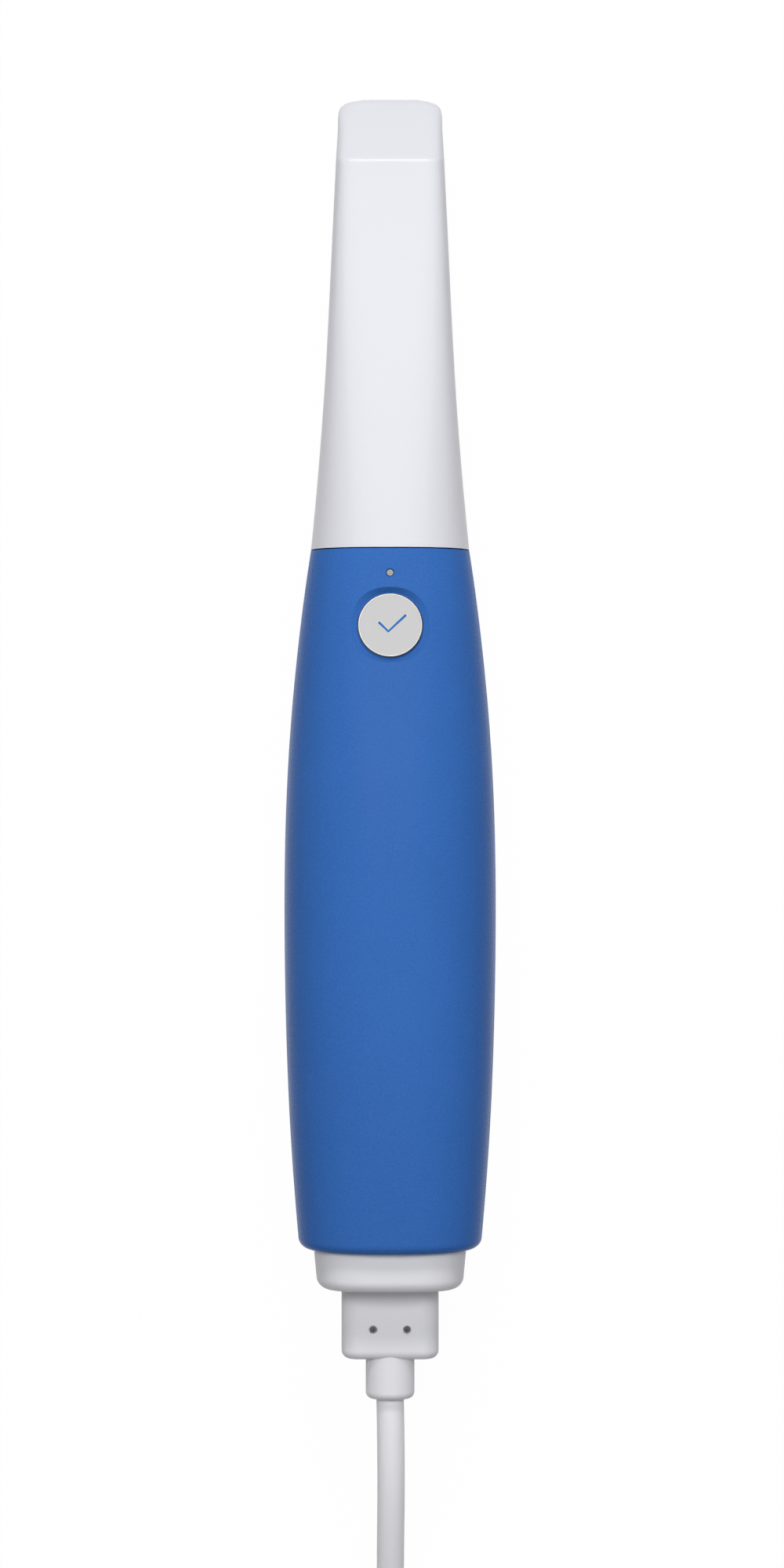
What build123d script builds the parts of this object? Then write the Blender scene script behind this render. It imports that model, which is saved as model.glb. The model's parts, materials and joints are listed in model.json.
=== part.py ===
from build123d import *
import os
from math import atan, cos, hypot, pi, radians, sin, tan

os.makedirs("parts", exist_ok=True)

# Lengths along the axis, from the scan tip back to the strain relief
tip_length = 95.5
body_length = 145.5
cap_length = 8.15
connector_length = 15.0
relief_length = 8.55

# Cross-sections of the covers at the seam, the belly and the tail
seam_half_width = 16.6
seam_half_height = 17.0
belly_half_width = 22.1
belly_top_height = 24.0
belly_bottom_depth = 24.4
belly_distance = 72.0
belly_flat_cut = 1.0
tail_half_width = 19.0
tail_half_height = 19.7
body_roundness = 2.6
cover_wall = 1.9
tail_edge_radius = 2.2
tail_crown_radius = 1000.0

# Parting line between the two covers, with a reveal outside and a lip inside
parting_height = 5.2
reveal_depth = 0.4
reveal_height = 0.6
lip_height = 1.2
lip_clearance = 0.12
lip_root = 0.5

# Scan tip, a sleeve over the nose with a sloping back behind its mirror
tip_wall = 1.6
seam_gap = 0.25
tip_end_half_width = 10.6
tip_width_taper = 0.0485
tip_flare_length = 50.0
head_half_height = 8.0
head_length = 14.2
head_end_thickness = 3.6
head_end_round = 2.8
head_edge_round = 1.3
head_nose_share = 0.55
crease_softness = 0.2
tip_height_taper = 0.078
head_roundness = 7.0
window_half_width = 7.6
window_length = 13.0
window_corner = 2.4
window_setback = 4.6
mirror_thickness = 1.1
mirror_half_width = 8.2
mirror_length = 14.6
mirror_fit = 0.05
mirror_seat = 0.4

# Nose of the handpiece, under the scan tip
nose_length = 32.0
nose_gap = 0.45
nose_wall = 1.5
nose_flange_thickness = 1.8
nose_flange_distance = 1.6
fit_gap = 0.15
glass_thickness = 1.5
glass_rim = 0.7
glass_sink = 0.3
glass_clearance = 0.05
seal_width = 1.6
seal_place = 4.0
seal_groove = 0.5
seal_gap = 0.1

# Button, its well in the top cover, and the status light
button_distance = 15.85
button_radius = 6.7
button_ring_gap = 0.25
dish_radius = 7.9
dish_depth = 1.2
button_sink = 0.45
button_crown = 0.35
button_ledge_depth = 2.4
button_flange_radius = 7.5
button_flange_thickness = 0.8
button_travel = 0.6
button_slack = 0.1
stem_radius = 1.6
stem_length = 0.3
well_wall = 1.4
membrane_thickness = 0.6
post_radius = 1.8
post_bite = 0.3
switch_size = 6.0
switch_height = 2.6
actuator_height = 0.3
board_thickness = 1.2
light_lead = 10.9
light_radius = 0.65
light_hole_radius = 0.75
light_mouth_radius = 0.95
light_mouth_depth = 0.3
light_sink = 0.2
light_chip_height = 0.6

# Optics, boards and frame inside the covers
chassis_drop = 10.4
chassis_thickness = 2.0
chassis_rim = 1.4
chassis_rim_height = 2.6
chassis_start = 8.0
optics_length = 16.0
optics_top = 8.0
optics_chamfer = 1.4
clamp_screw_radius = 0.8
clamp_screw_drop = 2.5
projector_radius = 3.1
camera_radius = 2.7
lens_wall = 0.6
lens_fit = 0.04
lens_reach = 9.0
lens_glass_sink = 1.2
lens_ring_place = 3.6
lens_ring_width = 0.6
lens_ring_depth = 0.3
sensor_size = 3.4
sensor_height = 0.8
engine_length = 30.0
engine_half_width = 10.5
engine_top = 9.0
engine_pocket_depth = 1.0
engine_pocket_front = 4.0
engine_pocket_back = 6.0
engine_pocket_margin = 4.0
sink_base = 2.4
sink_fin_depth = 8.0
sink_fin_thickness = 1.1
sink_fins = 7
main_board_gap = 4.0
main_board_half_width = 10.6
board_edge_gap = 0.5
board_corner = 1.0
chip_bite = 0.1
standoff_margin = 0.4
board_chips = [(11, 11, 1.3, 0, 8), (8, 9, 1.0, -5.5, 24), (8, 9, 1.0, 5.5, 24), (5, 5, 0.9, 6.5, 12),
               (14, 4, 2.6, 0, 1.5), (4, 7, 1.8, -7.5, 40), (9, 6, 1.1, 3, 40)]
standoff_height = 3.0
standoff_radius = 2.0
screw_head_radius = 1.9
screw_head_height = 1.4
screw_radius = 1.1
screw_length = 5.0
screw_socket_radius = 0.9
screw_room = 0.5
boss_radius = 3.0
bore_clearance = 0.1

# Tail cap, socket and cable connector
cap_half_width = 16.05
cap_half_height = 16.4
cap_end_half_width = 15.2
cap_end_half_height = 15.6
cap_roundness = 3.2
cap_wall = 1.8
cap_seat = 1.2
cap_edge_radius = 2.4
cap_clearance = 0.1
connector_half_width = 10.15
connector_half_height = 5.6
connector_corner = 3.8
connector_end_round = 1.8
tongue_half_width = 7.9
tongue_half_height = 4.4
tongue_depth = 9.6
tongue_corner = 0.6
rear_gap = 0.9
socket_clearance = 0.2
socket_wall = 1.6
socket_length = 12.0
socket_chamfer = 0.8
contact_half_width = 5.4
contact_half_height = 1.0
contact_length = 6.0
contact_chamfer = 0.3
relief_radius = 5.1
relief_edge = 1.4
set_screw_setback = 6.3
set_screw_spacing = 7.07
set_screw_radius = 0.6
set_screw_length = 4.0
set_screw_sink = 0.4
set_screw_mouth_radius = 0.95
set_screw_socket_depth = 1.0

# Cable, its tied hank and the plug at its far end
cable_radius = 2.875
fold_radius = 17.25
hank_run = 88.0
hank_rows = 2
hank_layers = 3
hank_start = 82.0
tie_width = 14.0
tie_thickness = 0.8
tie_gap = 0.2
plug_lead = 14.0
plug_length = 22.0
plug_half_width = 6.1
plug_half_height = 3.4
plug_edge = 1.6
plug_relief_length = 8.0
plug_relief_wall = 0.5
plug_groove = 0.8
shell_half_width = 4.17
shell_half_height = 1.28
shell_length = 6.65
shell_wall = 0.35

# Places that follow from the sizes above
overall_length = tip_length + body_length + cap_length + connector_length + relief_length
tip_end_y = overall_length / 2
seam_y = tip_end_y - tip_length
tail_y = seam_y - body_length
cap_end_y = tail_y - cap_length
connector_end_y = cap_end_y - connector_length
relief_end_y = connector_end_y - relief_length
axis_height = belly_bottom_depth - belly_flat_cut
parting_z = axis_height + parting_height
optics_start = nose_flange_distance + nose_flange_thickness
optics_end = optics_start + optics_length
engine_start = optics_end + board_thickness
engine_end = engine_start + engine_length
sink_end = engine_end + sink_base + sink_fin_depth
chassis_top_z = axis_height - chassis_drop
socket_face_y = cap_end_y + cap_wall
cable_lift = tie_thickness + tie_gap
far = 600.0
spare = 1.0
section_points = 24


def socket_half_height():
    return tongue_half_height + socket_clearance + socket_wall


# Outline across the axis at one station: a superellipse between a top and a bottom height
def section(y, half_width, top, bottom, roundness):
    points = []
    for step in range(section_points):
        angle = 2 * pi * step / section_points
        reach = (abs(cos(angle)) ** roundness + abs(sin(angle)) ** roundness) ** (-1 / roundness)
        x = half_width * reach * cos(angle)
        z = (top + bottom) / 2 + (top - bottom) / 2 * reach * sin(angle)
        points.append((x, y, axis_height + z))
    return Face(Wire([Spline(*points, periodic=True)]))


# Half size of the covers at a distance behind the seam
def swell(distance, seam, belly, tail):
    if distance < belly_distance:
        share = (belly_distance - distance) / belly_distance
        return belly - (belly - seam) * share ** 2.05
    share = (distance - belly_distance) / (body_length - belly_distance)
    return belly - (belly - tail) * share ** 2.27


def body_sizes(distance, inset):
    width = swell(distance, seam_half_width, belly_half_width, tail_half_width) - inset
    top = swell(distance, seam_half_height, belly_top_height, tail_half_height) - inset
    depth = swell(distance, seam_half_height, belly_bottom_depth, tail_half_height) - inset
    return width, top, -depth


# Half width inside the covers at a distance behind the seam and a height over the axis
def room(distance, height):
    width, top, bottom = body_sizes(distance, cover_wall)
    share = height / (top if height > 0 else bottom)
    return width * (1 - share ** body_roundness) ** (1 / body_roundness)


def body_form(start, end, inset):
    sections = []
    for share in (0, 0.1, 0.22, 0.35, 0.48, 0.61, 0.74, 0.87, 1):
        distance = start + (end - start) * share
        sections.append(section(seam_y - distance, *body_sizes(distance, inset), body_roundness))
    return loft(sections)


# Half width and heights of the scan tip's sleeve at a distance ahead of the seam
def sleeve_sizes(ahead):
    flare = max(0.0, 1 - ahead / tip_flare_length) ** 2
    width = tip_end_half_width + tip_width_taper * (tip_length - ahead)
    width += (seam_half_width - tip_end_half_width - tip_width_taper * tip_length) * flare
    crease = tip_length - head_length
    height = head_half_height + tip_height_taper * max(0.0, crease - ahead)
    height += (seam_half_height - head_half_height - tip_height_taper * crease) * flare
    share = min(1.0, max(0.0, ahead / crease))
    return width, height, body_roundness + (head_roundness - body_roundness) * share ** 1.5


def block(x, y, z):
    size = (x[1] - x[0], y[1] - y[0], z[1] - z[0])
    return Pos((x[0] + x[1]) / 2, (y[0] + y[1]) / 2, (z[0] + z[1]) / 2) * Box(*size)


# Round bar along the axis between two places, at a sideways and upward offset from the axis
def bar(radius, front_y, back_y, x=0.0, z=0.0):
    middle = Pos(x, (front_y + back_y) / 2, axis_height + z)
    return middle * Rot(90, 0, 0) * Cylinder(radius, front_y - back_y)


def slab(low, high):
    return block((-far, far), (-far, far), (low, high))


# Covers: one double-curved form, hollowed, flattened at the belly and split at the parting line
def cover_outer():
    form = body_form(0, body_length + spare, 0)
    form &= Pos(0, tail_y + tail_crown_radius, axis_height) * Cylinder(tail_crown_radius, far)
    form = fillet(form.faces().sort_by(Axis.Y)[0].edges(), tail_edge_radius)
    return form & slab(0, far)


def cover_inner():
    return body_form(-2 * cover_wall, body_length - cover_wall, cover_wall) & slab(cover_wall, far)


def rear_opening():
    half_width = main_board_half_width + rear_gap
    low = chassis_top_z + standoff_height - 2 * rear_gap
    high = axis_height + socket_half_height() + rear_gap
    return block((-half_width, half_width), (tail_y - 2 * cap_seat, tail_y + 3 * cover_wall), (low, high))


def cap_form(clearance, front_y, back_y):
    widths = (cap_half_width + clearance, cap_end_half_width + clearance)
    heights = (cap_half_height + clearance, cap_end_half_height + clearance)
    front = section(front_y, widths[0], heights[0], -heights[0], cap_roundness)
    back = section(back_y, widths[1], heights[1], -heights[1], cap_roundness)
    return loft([front, back])


# Plane of the button: its origin on the cover's crest, its Z along the outward normal
def button_plane():
    front = body_sizes(button_distance - dish_radius, 0)[1]
    back = body_sizes(button_distance + dish_radius, 0)[1]
    tilt = atan((back - front) / (2 * dish_radius))
    origin = (0, seam_y - button_distance, axis_height + (front + back) / 2)
    return Plane(origin=origin, x_dir=(1, 0, 0), z_dir=(0, sin(tilt), cos(tilt)))


# Round disc under the button's plane between two depths, ahead of its centre or beside it
def disc(radius, top, bottom, x=0.0, ahead=0.0):
    return button_plane() * Pos(x, ahead, -(top + bottom) / 2) * Cylinder(radius, bottom - top)


def well_radius():
    return button_flange_radius + button_ring_gap


def well_depth():
    return button_ledge_depth + button_flange_thickness + button_travel + button_slack


# Depths of the membrane's, the switch's and the button board's upper faces
def switch_top():
    return well_depth() + membrane_thickness


def button_board_top():
    return switch_top() + actuator_height + switch_height


def post_offset():
    return well_radius() + post_radius - post_bite


# Conical dish round the button, wider across so that its rim is round on the curved cover
def dish_form(hole_radius):
    width, top, bottom = body_sizes(button_distance, 0)
    side_drop = top * (1 - (1 - (dish_radius / width) ** body_roundness) ** (1 / body_roundness))
    flare = (dish_radius - hole_radius) * (dish_depth + spare)
    across = hole_radius + flare / (dish_depth - side_drop)
    along = hole_radius + flare / dish_depth
    floor = button_plane() * Pos(0, 0, -dish_depth) * Circle(hole_radius)
    mouth = button_plane() * Pos(0, 0, spare) * Ellipse(across, along)
    return loft([floor, mouth])


def button_opening():
    hole_radius = button_radius + button_ring_gap
    opening = dish_form(hole_radius) + disc(hole_radius, 0, well_depth())
    opening += disc(well_radius(), button_ledge_depth, switch_top())
    return opening


def top_cover(outer, inner):
    cover = outer - inner
    carrier = disc(well_radius() + well_wall, 0, switch_top())
    for side in (-1, 1):
        carrier += disc(post_radius, 0, button_board_top(), x=side * post_offset())
    cover += carrier & outer
    cover &= slab(parting_z, far)
    cover -= button_opening()
    cover -= disc(light_hole_radius, -2 * spare, 2 * cover_wall, ahead=light_lead)
    mouth = Cone(light_hole_radius, light_mouth_radius, light_mouth_depth)
    cover -= button_plane() * Pos(0, light_lead, -light_mouth_depth / 2) * mouth
    groove = body_form(-spare, body_length + spare, cover_wall / 2 - lip_clearance)
    cover -= groove & slab(parting_z - spare, parting_z + lip_height + lip_clearance)
    reveal = slab(parting_z - spare, parting_z + reveal_height)
    cover -= reveal - body_form(-spare, body_length + spare, reveal_depth)
    cover -= cap_form(cap_clearance, tail_y + cap_seat, cap_end_y)
    return cover - rear_opening()


def boss_places():
    front = sink_end + main_board_gap / 2
    back = body_length - 3 * boss_radius - cap_seat
    side = main_board_half_width - boss_radius
    return [(x, seam_y - distance) for x in (-side, side) for distance in (front, back)]


def bottom_cover(outer, inner):
    chassis_low = chassis_top_z - chassis_thickness
    cover = outer - inner
    rests = [(side * 2 * boss_radius, seam_y - chassis_start - boss_radius) for side in (-1, 1)]
    for x, y in boss_places() + rests:
        cover += (Pos(x, y, chassis_low / 2) * Cylinder(boss_radius, chassis_low)) & outer
    cover &= slab(0, parting_z)
    lip = body_form(0, body_length - tail_edge_radius, cover_wall / 2)
    lip -= body_form(-spare, body_length, cover_wall)
    cover += lip & slab(parting_z - lip_root, parting_z + lip_height)
    depth = screw_length + screw_room
    for x, y in boss_places():
        cover -= Pos(x, y, chassis_low - depth / 2) * Cylinder(screw_radius + bore_clearance, depth)
    cover -= cap_form(cap_clearance, tail_y + cap_seat, cap_end_y)
    return cover - rear_opening()


# Scan tip: one loft whose back bends at the crease and slopes down to a rounded end
def tip_section(ahead, inset, end):
    width, height, roundness = sleeve_sizes(min(ahead, tip_length))
    slope = head_slope()
    crease = tip_length - head_length
    sloped = height - slope * (ahead - crease) - inset * (hypot(1, slope) - 1)
    top = (height + sloped) / 2 - hypot((height - sloped) / 2, crease_softness)
    left = max(0.0, end - ahead)
    if left < head_end_round:
        width *= max(head_nose_share, (1 - (1 - left / head_end_round) ** 2) ** 0.25)
    edge = head_edge_round - (head_edge_round ** 2 - max(0.0, head_edge_round - left) ** 2) ** 0.5
    return section(seam_y + ahead, width - inset, top - inset - edge, inset + edge - height, roundness)


def head_slope():
    return (2 * head_half_height - head_end_thickness) / head_length


def tip_form(back, end, inset):
    crease = tip_length - head_length
    stations = [back + (crease - back) * share for share in (0, 0.13, 0.28, 0.45, 0.62, 0.78, 0.9)]
    stations += [crease + step for step in (-3.5, -1.6, -0.6, 0.0, 0.6, 1.6, 3.5)]
    slope_end = end - head_end_round
    stations += [(crease + 3.5 + slope_end) / 2, slope_end]
    stations += [end - head_end_round * left for left in (0.72, 0.46, 0.25, 0.1, 0.03, 0)]
    return loft([tip_section(ahead, inset, end) for ahead in stations])


# Plane of the mirror's back, on the inner side of the sloping wall
def mirror_plane():
    slope = head_slope()
    reach = head_length * 0.5
    middle = (0, tip_end_y - head_length + reach, axis_height + head_half_height - slope * reach)
    tilt = atan(slope)
    plane = Plane(origin=middle, x_dir=(1, 0, 0), z_dir=(0, sin(tilt), cos(tilt)))
    return Plane(origin=plane.from_local_coords((0, 0, -tip_wall)), x_dir=(1, 0, 0), z_dir=plane.z_dir)


def mirror_plate(clearance):
    size = (2 * (mirror_half_width + clearance), mirror_length + 2 * clearance, mirror_thickness)
    return mirror_plane() * Pos(0, 0, mirror_seat - mirror_thickness / 2) * Box(*size)


def scan_window():
    middle_y = tip_end_y - window_setback - window_length / 2
    outline = RectangleRounded(2 * window_half_width, window_length, window_corner)
    depth = 3 * tip_wall
    return Pos(0, middle_y, axis_height - head_half_height - tip_wall) * extrude(outline, depth)


def tip_shell():
    shell = tip_form(seam_gap, tip_length, 0) - tip_form(-spare, tip_length - tip_wall, tip_wall)
    return shell - scan_window() - mirror_plate(mirror_fit)


def tip_mirror():
    return mirror_plate(0)


# Nose under the scan tip: a tapering tube with a flange held between the covers
def nose_sizes(ahead):
    width, height, roundness = sleeve_sizes(max(0.0, ahead))
    inset = tip_wall + nose_gap
    return width - inset, height - inset, roundness


def nose_form(back, front, inset):
    sections = []
    for share in (0, 0.25, 0.5, 0.75, 1):
        ahead = back + (front - back) * share
        width, height, roundness = nose_sizes(ahead)
        sections.append(section(seam_y + ahead, width - inset, height - inset, inset - height, roundness))
    return loft(sections)


def nose():
    flange_y = seam_y - nose_flange_distance
    width, top, bottom = body_sizes(nose_flange_distance, cover_wall + fit_gap)
    plate = section(flange_y, width, top, bottom, body_roundness)
    form = nose_form(-nose_flange_distance, nose_length, 0)
    form += extrude(plate, nose_flange_thickness, dir=(0, -1, 0))
    form -= nose_form(-optics_start - spare, nose_length + spare, nose_wall)
    form -= glass_form(0, spare)
    return form - seal_ring(nose_gap)


def glass_form(clearance, beyond):
    back = nose_length - glass_thickness - glass_sink
    return nose_form(back, nose_length + beyond, glass_rim + clearance)


def nose_window():
    return glass_form(glass_clearance, -glass_sink)


# Ring round the nose in a groove, reaching a little beyond the nose on the outside
def seal_ring(reach):
    ring = nose_form(seal_place, seal_place + seal_width, -reach)
    return ring - nose_form(seal_place - spare, seal_place + seal_width + spare, seal_groove)


def seam_seal():
    return seal_ring(nose_gap - seal_gap)


# Button and what lies under it
def button_cap():
    cap = disc(button_radius, button_sink, button_ledge_depth + button_flange_thickness)
    cap = fillet(cap.edges().filter_by(GeomType.CIRCLE).sort_by(Axis.Z)[-1], button_crown)
    flange_bottom = button_ledge_depth + button_flange_thickness
    cap += disc(button_flange_radius, button_ledge_depth, flange_bottom)
    return cap + disc(stem_radius, flange_bottom, flange_bottom + stem_length)


def button_membrane():
    top = well_depth()
    membrane = disc(well_radius() - bore_clearance, top, top + membrane_thickness)
    return membrane - disc(2 * stem_radius, top, top + membrane_thickness / 2)


def tact_switch():
    top = switch_top()
    body_top = top + actuator_height
    middle = -(body_top + button_board_top()) / 2
    switch = button_plane() * Pos(0, 0, middle) * Box(switch_size, switch_size, switch_height)
    return switch + disc(stem_radius, top, body_top)


def button_board():
    top = button_board_top()
    half_width = post_offset() + post_radius
    front = light_lead + 2.0
    back = -switch_size
    plate = Box(2 * half_width, front - back, board_thickness)
    board = button_plane() * Pos(0, (front + back) / 2, -top - board_thickness / 2) * plate
    chip = Box(light_radius * 3, light_radius * 3, light_chip_height)
    return board + button_plane() * Pos(0, light_lead, -top + light_chip_height / 2) * chip


def light_guide():
    bottom = button_board_top() - light_chip_height
    flange_top = cover_wall + 0.6
    guide = disc(light_radius, light_sink, bottom, ahead=light_lead)
    return guide + disc(light_radius * 1.6, flange_top, flange_top + 0.8, ahead=light_lead)


# Frame and optics: a rimmed plate, a block with three lens bores, and the light engine
def chassis():
    half_width = room(chassis_start, -chassis_drop - chassis_thickness) - fit_gap
    front_y = seam_y - chassis_start
    back_y = tail_y + 2 * boss_radius
    low = chassis_top_z - chassis_thickness
    plate = block((-half_width, half_width), (back_y, front_y), (low, chassis_top_z))
    for side in (-1, 1):
        edges = sorted((side * half_width, side * (half_width - chassis_rim)))
        rim_front = seam_y - engine_end
        plate += block(edges, (back_y, rim_front), (low, chassis_top_z + chassis_rim_height))
    plate = fillet(plate.edges().filter_by(Axis.Z), chassis_rim / 3)
    for x, y in standoff_places():
        plate += Pos(x, y, chassis_top_z + standoff_height / 2) * Cylinder(standoff_radius, standoff_height)
    for x, y in boss_places():
        plate -= Pos(x, y, chassis_top_z) * Cylinder(screw_radius + bore_clearance, 3 * chassis_thickness)
    for step in range(3):
        slot_y = seam_y - main_board_start() - (step + 1) * main_board_length() / 4
        slot = SlotOverall(2 * main_board_half_width - 3 * standoff_radius, 2 * standoff_radius)
        plate -= Pos(0, slot_y, low - spare) * extrude(slot, chassis_thickness + 2 * spare)
    return plate


def main_board_start():
    return sink_end + main_board_gap


def main_board_length():
    return seam_y - main_board_start() - (cap_end_y + cap_wall + board_edge_gap)


def standoff_places():
    front_y = seam_y - main_board_start() - standoff_radius - standoff_margin
    back_y = tail_y + 6 * boss_radius
    side = main_board_half_width - standoff_radius - standoff_margin
    return [(x, y) for x in (-side, side) for y in (front_y, back_y)]


def lens_offset():
    return room(optics_start, -chassis_drop) - fit_gap - lens_wall * 2 - camera_radius


def optics_block():
    half_width = lens_offset() + camera_radius + lens_wall
    front_y = seam_y - optics_start
    back_y = seam_y - optics_end
    top_z = axis_height + optics_top
    form = block((-half_width, half_width), (back_y, front_y), (chassis_top_z, top_z))
    form = chamfer(form.edges().filter_by(Axis.Y), optics_chamfer)
    form -= bar(projector_radius + lens_fit, front_y + spare, back_y - spare)
    for side in (-1, 1):
        form -= bar(camera_radius + lens_fit, front_y + spare, back_y - spare, x=side * lens_offset())
        form -= bar(clamp_screw_radius, front_y + spare, front_y - optics_length / 2,
                    x=side * lens_offset() / 2, z=optics_top - clamp_screw_drop)
    return form


# Stepped barrel with a glass recess at its front
def lens_barrel(radius, x, back_y):
    front_y = seam_y + lens_reach - optics_start
    barrel = bar(radius, front_y, back_y, x=x)
    ring_y = front_y - lens_ring_place
    barrel -= bar(radius - lens_wall, front_y + spare, front_y - lens_glass_sink, x=x)
    ring = bar(radius + spare, ring_y, ring_y - lens_ring_width, x=x)
    return barrel - (ring - bar(radius - lens_ring_depth, front_y, back_y, x=x))


def camera_lens(side):
    return lens_barrel(camera_radius, side * lens_offset(), seam_y - optics_end + sensor_height)


def projector_lens():
    return lens_barrel(projector_radius, 0.0, seam_y - optics_end)


def camera_board():
    half_width = lens_offset() + camera_radius + lens_wall
    y = (seam_y - engine_start, seam_y - optics_end)
    board = block((-half_width, half_width), y, (chassis_top_z, axis_height + optics_top))
    board = chamfer(board.edges().filter_by(Axis.Y), optics_chamfer)
    board -= bar(projector_radius + lens_fit, y[1] + spare, y[0] - spare)
    for side in (-1, 1):
        x = (side * lens_offset() - sensor_size / 2, side * lens_offset() + sensor_size / 2)
        z = (axis_height - sensor_size / 2, axis_height + sensor_size / 2)
        board += block(x, (y[1], y[1] + sensor_height), z)
    return board


def light_engine():
    y = (seam_y - engine_end, seam_y - engine_start)
    z = (chassis_top_z, axis_height + engine_top)
    form = block((-engine_half_width, engine_half_width), y, z)
    form = fillet(form.edges().filter_by(Axis.Y), optics_chamfer)
    for side in (-1, 1):
        pocket = block((-engine_pocket_depth, engine_pocket_depth), (y[0] + engine_pocket_back, y[1] - engine_pocket_front),
                       (z[0] + engine_pocket_margin, z[1] - engine_pocket_margin))
        form -= Pos(side * engine_half_width, 0, 0) * pocket
    return form + bar(projector_radius - bore_clearance, y[1] + board_thickness, y[1] - spare)


def heat_sink():
    front_y = seam_y - engine_end
    back_y = seam_y - sink_end
    z = (chassis_top_z, axis_height + engine_top)
    sink = block((-engine_half_width, engine_half_width), (front_y - sink_base, front_y), z)
    pitch = (2 * engine_half_width - sink_fin_thickness) / (sink_fins - 1)
    for step in range(sink_fins):
        x = -engine_half_width + pitch * step
        sink += block((x, x + sink_fin_thickness), (back_y, front_y), z)
    return sink


def main_board():
    front_y = seam_y - main_board_start()
    back_y = front_y - main_board_length()
    low = chassis_top_z + standoff_height
    x = (-main_board_half_width, main_board_half_width)
    board = block(x, (back_y, front_y), (low, low + board_thickness))
    board = fillet(board.edges().filter_by(Axis.Z), board_corner)
    top = low + board_thickness
    for width, length, height, x, back in board_chips:
        y = front_y - back
        board += block((x - width / 2, x + width / 2), (y - length, y), (top - chip_bite, top + height))
    return board


# Screws through the frame into the bottom cover's bosses
def chassis_screws():
    screws = []
    for x, y in boss_places():
        head = Pos(x, y, chassis_top_z + screw_head_height / 2) * Cylinder(screw_head_radius, screw_head_height)
        head -= Pos(x, y, chassis_top_z + screw_head_height / 2) * extrude(RegularPolygon(screw_socket_radius, 6), screw_head_height)
        middle = chassis_top_z - screw_length / 2
        screws.append(head + Pos(x, y, middle) * Cylinder(screw_radius, screw_length))
    return screws


# Tail: the cap, the socket behind it and the cable's moulded connector
def tail_cap():
    cap = cap_form(0, tail_y + cap_seat, cap_end_y)
    cap = fillet(cap.faces().sort_by(Axis.Y)[0].edges(), cap_edge_radius)
    hollow = cap_form(-cap_wall, tail_y + cap_seat + spare, cap_end_y + cap_wall)
    cap -= hollow
    half_width = tongue_half_width + socket_clearance
    half_height = tongue_half_height + socket_clearance
    return cap - block((-half_width, half_width), (cap_end_y - spare, socket_face_y + spare),
                       (axis_height - half_height, axis_height + half_height))


def tail_socket():
    half_width = tongue_half_width + socket_clearance
    half_height = tongue_half_height + socket_clearance
    front_y = socket_face_y + socket_length
    low = chassis_top_z + standoff_height + board_thickness
    shell = block((-half_width - socket_wall, half_width + socket_wall), (socket_face_y, front_y),
                  (low, axis_height + socket_half_height()))
    shell = chamfer(shell.edges().filter_by(Axis.Y), socket_chamfer)
    return shell - block((-half_width, half_width), (socket_face_y - spare, front_y - socket_wall),
                         (axis_height - half_height, axis_height + half_height))


def socket_contacts():
    back_wall_y = socket_face_y + socket_length - socket_wall
    x = (-contact_half_width, contact_half_width)
    z = (axis_height - contact_half_height, axis_height + contact_half_height)
    blade = block(x, (back_wall_y - contact_length, back_wall_y), z)
    return chamfer(blade.faces().sort_by(Axis.Y)[0].edges(), contact_chamfer)


def cable_connector():
    x = (-connector_half_width, connector_half_width)
    z = (axis_height - connector_half_height, axis_height + connector_half_height)
    form = block(x, (connector_end_y, cap_end_y), z)
    form = fillet(form.edges().filter_by(Axis.Y), connector_corner)
    form = fillet(form.faces().sort_by(Axis.Y)[0].edges(), connector_end_round)
    tongue = block((-tongue_half_width, tongue_half_width), (cap_end_y, cap_end_y + tongue_depth),
                   (axis_height - tongue_half_height, axis_height + tongue_half_height))
    form += fillet(tongue.edges().filter_by(Axis.Y), tongue_corner)
    slot_x = contact_half_width + socket_clearance
    slot_z = contact_half_height + socket_clearance
    slot_depth = contact_length + socket_clearance
    form -= block((-slot_x, slot_x), (cap_end_y + tongue_depth - slot_depth, cap_end_y + tongue_depth + spare),
                  (axis_height - slot_z, axis_height + slot_z))
    relief = bar(relief_radius, connector_end_y + spare, relief_end_y)
    form += fillet(relief.edges().sort_by(Axis.Y)[0], relief_edge)
    for x in (-set_screw_spacing / 2, set_screw_spacing / 2):
        hole = Pos(x, set_screw_y(), z[1] - set_screw_sink - set_screw_length / 2)
        form -= hole * Cylinder(set_screw_radius + bore_clearance, set_screw_length)
        mouth = Cone(set_screw_radius + bore_clearance, set_screw_mouth_radius, set_screw_sink)
        form -= Pos(x, set_screw_y(), z[1] - set_screw_sink / 2) * mouth
    return form


def set_screw_y():
    return connector_end_y + set_screw_setback


def set_screws():
    screws = []
    top = axis_height + connector_half_height - set_screw_sink
    for x in (-set_screw_spacing / 2, set_screw_spacing / 2):
        screw = Pos(x, set_screw_y(), top - set_screw_length / 2) * Cylinder(set_screw_radius, set_screw_length)
        socket = extrude(RegularPolygon(set_screw_radius * 0.6, 6), set_screw_socket_depth + spare)
        screws.append(screw - Pos(x, set_screw_y(), top - set_screw_socket_depth) * socket)
    return screws


# Cable: from the relief down to the surface, into a tied hank, and on to its plug
def lead_points():
    exit_y = relief_end_y
    drop = axis_height - cable_radius
    rest_z = cable_radius + cable_lift
    return [(0, exit_y, axis_height), (0.3, exit_y - 14, axis_height - 0.016 * drop),
            (0.0, exit_y - 38, axis_height - 0.42 * drop), (-0.6, exit_y - 60, axis_height - 0.86 * drop),
            (-0.5, exit_y - 73, rest_z + 0.3), (0, hank_front_y(), rest_z)]


def tail_points():
    start_y = hank_back_y()
    x = fold_radius
    rest_z = cable_radius + cable_lift
    return [(x, start_y + 3 * cable_radius, rest_z), (x + 0.4, start_y - 3, rest_z + 0.1),
            (x - 0.6, start_y - plug_lead, plug_half_height)]


def hank_front_y():
    return relief_end_y - hank_start


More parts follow.
